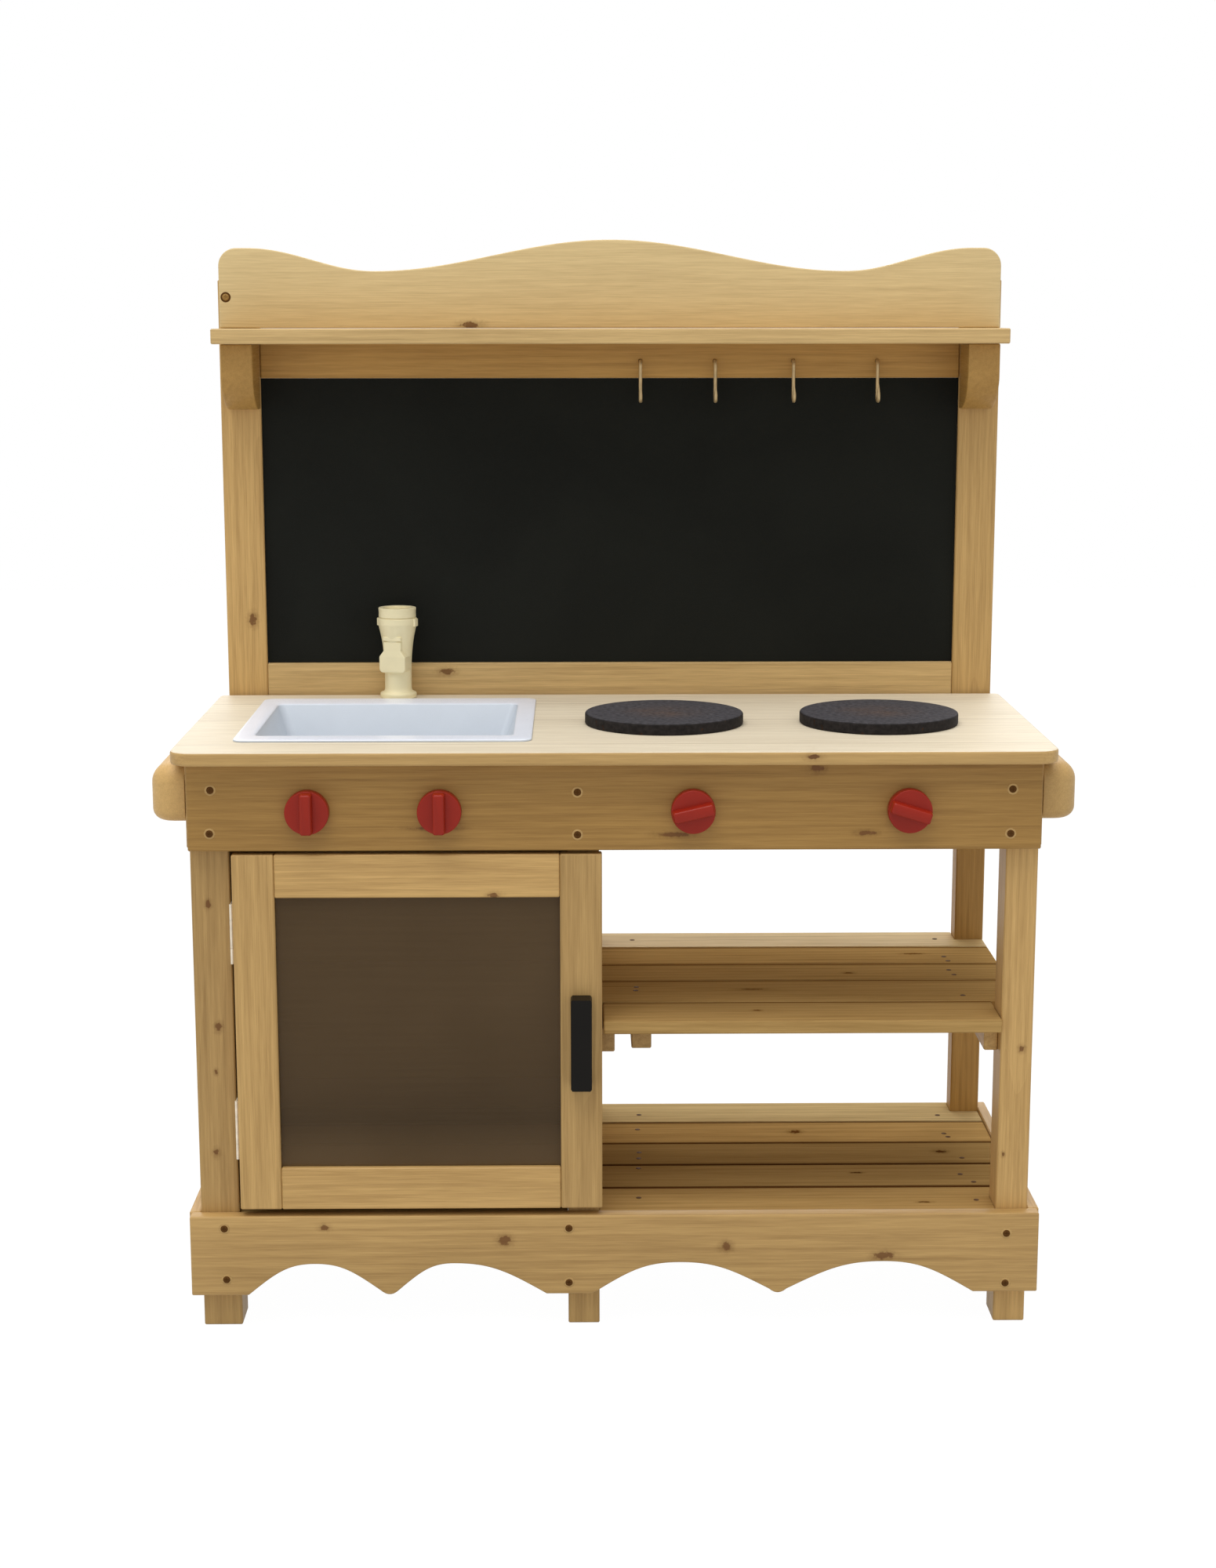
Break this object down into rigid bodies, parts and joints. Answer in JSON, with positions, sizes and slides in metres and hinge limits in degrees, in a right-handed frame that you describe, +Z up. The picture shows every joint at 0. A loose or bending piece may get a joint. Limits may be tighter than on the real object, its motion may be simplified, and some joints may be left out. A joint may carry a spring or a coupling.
{
  "type": "mud kitchen",
  "caption": "Wooden play kitchen for outdoors with a lift-out basin, turning tap, hob plates, knobs, a glazed cupboard door, slatted shelves and a chalkboard back with hooks.",
  "frame": {"origin": "centre of the footprint on the floor, halfway between the foremost grip and the back frame", "axes": "+Z up, +X to the right when facing the kitchen, +Y away from the child towards the chalkboard"},
  "size_m": [0.9492, 0.4212, 1.1348],
  "materials": {
    "pine": "planed softwood with a clear water-based stain",
    "pale_pine": "planed and sanded, nearly white softwood",
    "chalkboard": "hardboard with matt black chalkboard paint",
    "red_plastic": "satin red moulding",
    "cream_plastic": "satin cream moulding",
    "pale_blue_plastic": "satin pale blue moulding",
    "hob_black": "matt black paint, worn brown in the middle",
    "smoked_pane": "clear smoke-brown sheet",
    "zinc": "bright zinc plate",
    "black_plastic": "satin black moulding"
  },
  "bodies": {
    "carcass": {"leg_front_left": "pine", "leg_front_middle": "pine", "leg_front_right": "pine", "leg_back_left": "pine", "leg_back_middle": "pine", "leg_back_right": "pine", "control_panel": "pine", "side_apron_left": "pine", "side_apron_right": "pine", "frame_stile_left": "pine", "frame_stile_right": "pine", "frame_rail_bottom": "pine", "frame_rail_top": "pine", "rear_apron": "pine", "top_shelf": "pine", "bracket_left": "pine", "bracket_right": "pine", "crest_board": "pine", "plinth_front": "pine", "side_plinth_left": "pine", "side_plinth_right": "pine", "floor_deck": "pine", "cabinet_side_panel": "pine", "cabinet_divider": "pine", "cabinet_back_panel": "pine", "shelf_cleat_left": "pine", "shelf_cleat_right": "pine", "shelf_bearer": "pine", "shelf_slat_1": "pine", "shelf_slat_2": "pine", "shelf_slat_3": "pine", "shelf_slat_4": "pine", "shelf_slat_5": "pine", "side_rail_left": "pine", "side_rail_right": "pine", "worktop": "pale_pine", "chalkboard": "chalkboard", "hob_plate_1": "hob_black", "hob_plate_2": "hob_black", "hinge_frame_leaf_lower": "zinc", "hinge_frame_leaf_upper": "zinc", "hook_1": "zinc", "hook_2": "zinc", "hook_3": "zinc", "hook_4": "zinc"},
    "door": {"door_stile_left": "pine", "door_stile_right": "pine", "door_rail_bottom": "pine", "door_rail_top": "pine", "door_window": "smoked_pane", "door_handle": "black_plastic", "hinge_door_leaf_lower": "zinc", "hinge_door_leaf_upper": "zinc"},
    "knob_1": {"knob_1": "red_plastic"},
    "knob_2": {"knob_2": "red_plastic"},
    "knob_3": {"knob_3": "red_plastic"},
    "knob_4": {"knob_4": "red_plastic"},
    "basin": {"basin": "pale_blue_plastic"},
    "tap": {"tap_body": "cream_plastic"},
    "tap_cap": {"tap_cap": "cream_plastic"}
  },
  "joints": [
    {"name": "door_hinge", "type": "hinge", "parent": "carcass", "child": "door", "pos_m": [-0.3934, -0.17835, 0.32335], "axis": [0, 0, -1], "range_deg": [0, 110]},
    {"name": "knob_1_turn", "type": "hinge", "parent": "carcass", "child": "knob_1", "pos_m": [-0.31197, -0.21065, 0.5582], "axis": [0, 1, 0], "continuous": true},
    {"name": "knob_2_turn", "type": "hinge", "parent": "carcass", "child": "knob_2", "pos_m": [-0.17815, -0.21065, 0.5582], "axis": [0, 1, 0], "continuous": true},
    {"name": "knob_3_turn", "type": "hinge", "parent": "carcass", "child": "knob_3", "pos_m": [0.07908, -0.21065, 0.5582], "axis": [0, 1, 0], "continuous": true},
    {"name": "knob_4_turn", "type": "hinge", "parent": "carcass", "child": "knob_4", "pos_m": [0.29894, -0.21065, 0.5582], "axis": [0, 1, 0], "continuous": true},
    {"name": "basin_lift", "type": "slide", "parent": "carcass", "child": "basin", "axis": [0, 0, 1], "range_m": [0, 0.12]},
    {"name": "tap_swivel", "type": "hinge", "parent": "carcass", "child": "tap", "pos_m": [-0.2435, 0.16935, 0.621], "axis": [0, 0, 1], "range_deg": [-70, 105]},
    {"name": "tap_cap_turn", "type": "hinge", "parent": "tap", "child": "tap_cap", "pos_m": [-0.2435, 0.16935, 0.7023], "axis": [0, 0, 1], "range_deg": [0, 90]}
  ]
}
